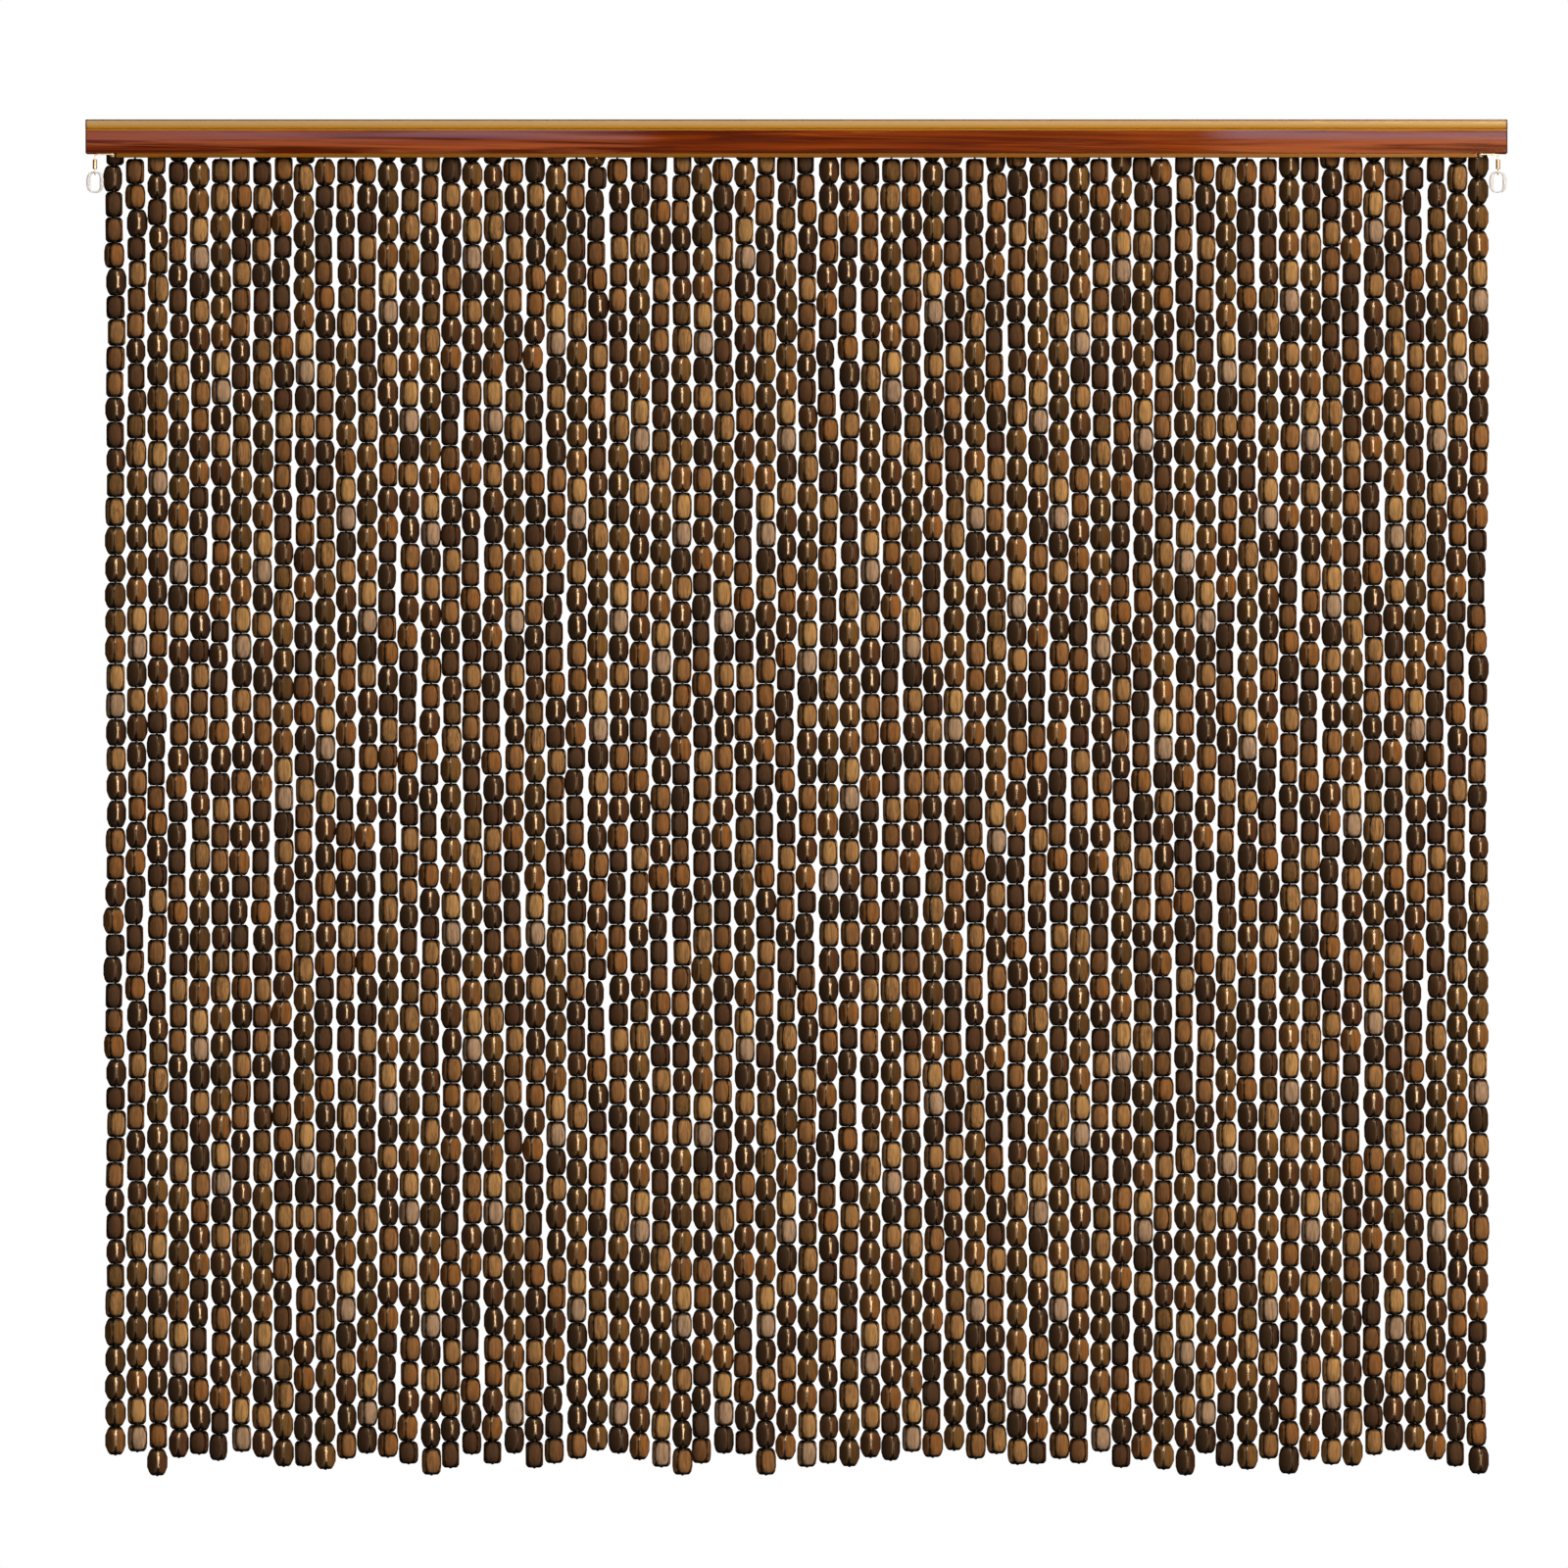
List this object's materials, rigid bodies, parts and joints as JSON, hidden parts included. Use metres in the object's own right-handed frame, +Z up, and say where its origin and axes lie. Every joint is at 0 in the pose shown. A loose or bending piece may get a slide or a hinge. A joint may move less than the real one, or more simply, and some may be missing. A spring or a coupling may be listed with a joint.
{
  "type": "bead curtain with head rail",
  "caption": "Wooden bead curtain: strands of polished barrel beads hang from a moulded head rail, with a clear ring on a wire hanger at each end.",
  "frame": {"origin": "middle of the head rail's flat back face", "axes": "+X along the rail, -Y out of the front, +Y into the wall, +Z up"},
  "size_m": [0.9, 0.0204, 0.8582],
  "materials": {
    "rail_wood": "lacquered, reddish brown, golden on the moulding",
    "lip_wood": "lacquered, olive brown",
    "bead_wood": "polished, from dark brown to tan",
    "hanger_brass": "dull",
    "sleeve_copper": "dull copper",
    "ring_clear": "clear, glossy"
  },
  "bodies": {
    "root": {"rail": "rail_wood", "lip_batten": "lip_wood", "strands": "bead_wood", "left_hanger_wire": "hanger_brass", "left_tack": "hanger_brass", "left_sleeve": "sleeve_copper", "left_ring": "ring_clear", "right_hanger_wire": "hanger_brass", "right_tack": "hanger_brass", "right_sleeve": "sleeve_copper", "right_ring": "ring_clear"}
  },
  "joints": []
}
